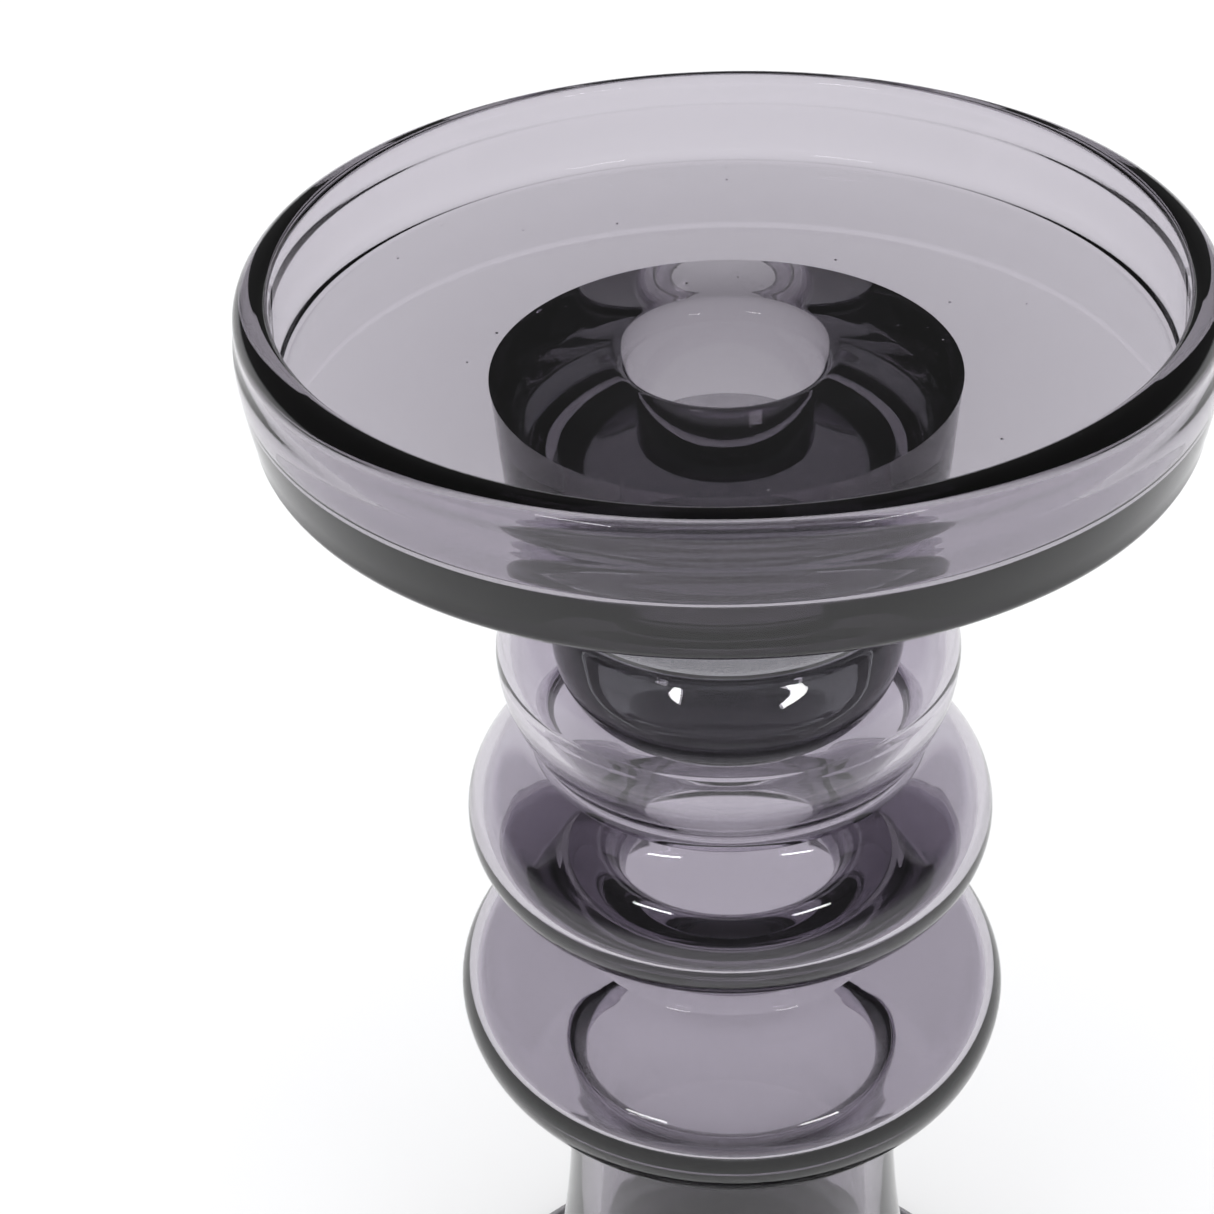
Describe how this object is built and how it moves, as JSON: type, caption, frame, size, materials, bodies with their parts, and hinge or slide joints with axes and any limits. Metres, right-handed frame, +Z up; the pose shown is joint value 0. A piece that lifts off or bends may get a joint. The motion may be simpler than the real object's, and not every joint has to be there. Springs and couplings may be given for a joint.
{
  "type": "glass candlestick",
  "caption": "Smoke-grey glass candlestick with a round tray for a pillar candle, a taper socket in its floor and a stem of hollow swellings on a flared foot.",
  "frame": {"origin": "centre of the flared foot's underside, on the surface the candlestick stands on", "axes": "+Z up along the stem to the tray's rim; the candlestick is a body of revolution, so +X and +Y are free"},
  "size_m": [0.1104, 0.1104, 0.212],
  "materials": {
    "smoke_glass": "clear smoke-grey glass, fire-polished, with slight waviness and a few fine seeds"
  },
  "bodies": {
    "root": {"drip_tray": "smoke_glass", "candle_socket": "smoke_glass", "knop": "smoke_glass", "upper_bubble": "smoke_glass", "lower_bubble": "smoke_glass", "foot": "smoke_glass"}
  },
  "joints": []
}
